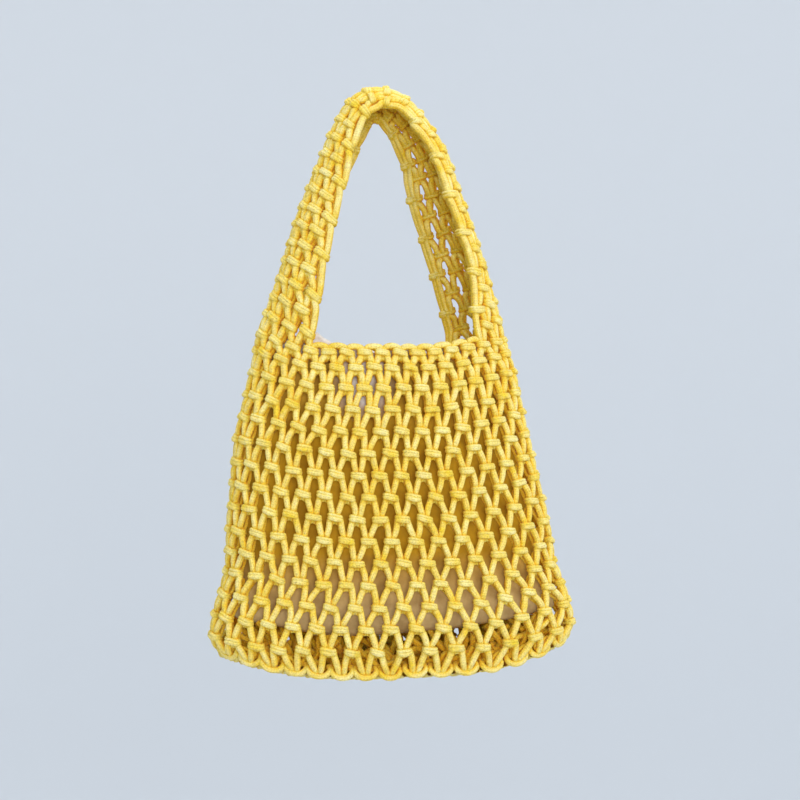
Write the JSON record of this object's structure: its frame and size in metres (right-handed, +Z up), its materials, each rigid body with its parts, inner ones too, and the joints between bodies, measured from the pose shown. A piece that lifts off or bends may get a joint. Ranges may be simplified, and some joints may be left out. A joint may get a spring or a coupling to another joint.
{
  "type": "net bucket bag",
  "caption": "Knotted cotton-cord net bag with an oval base and one broad net strap rising from its two sides, with a loose cloth pouch inside.",
  "frame": {"origin": "the grip point, under the crest of the strap, from which the bag hangs", "axes": "+Z up along the hanging bag, +X to the right along the broad side, -Y the front"},
  "size_m": [0.2372, 0.0835, 0.3851],
  "materials": {
    "cotton_cord": "matt braided cotton cord",
    "linen_cloth": "matt plain-weave linen"
  },
  "bodies": {
    "root": {"body_net": "cotton_cord", "strap_net": "cotton_cord", "pouch": "linen_cloth"}
  },
  "joints": []
}
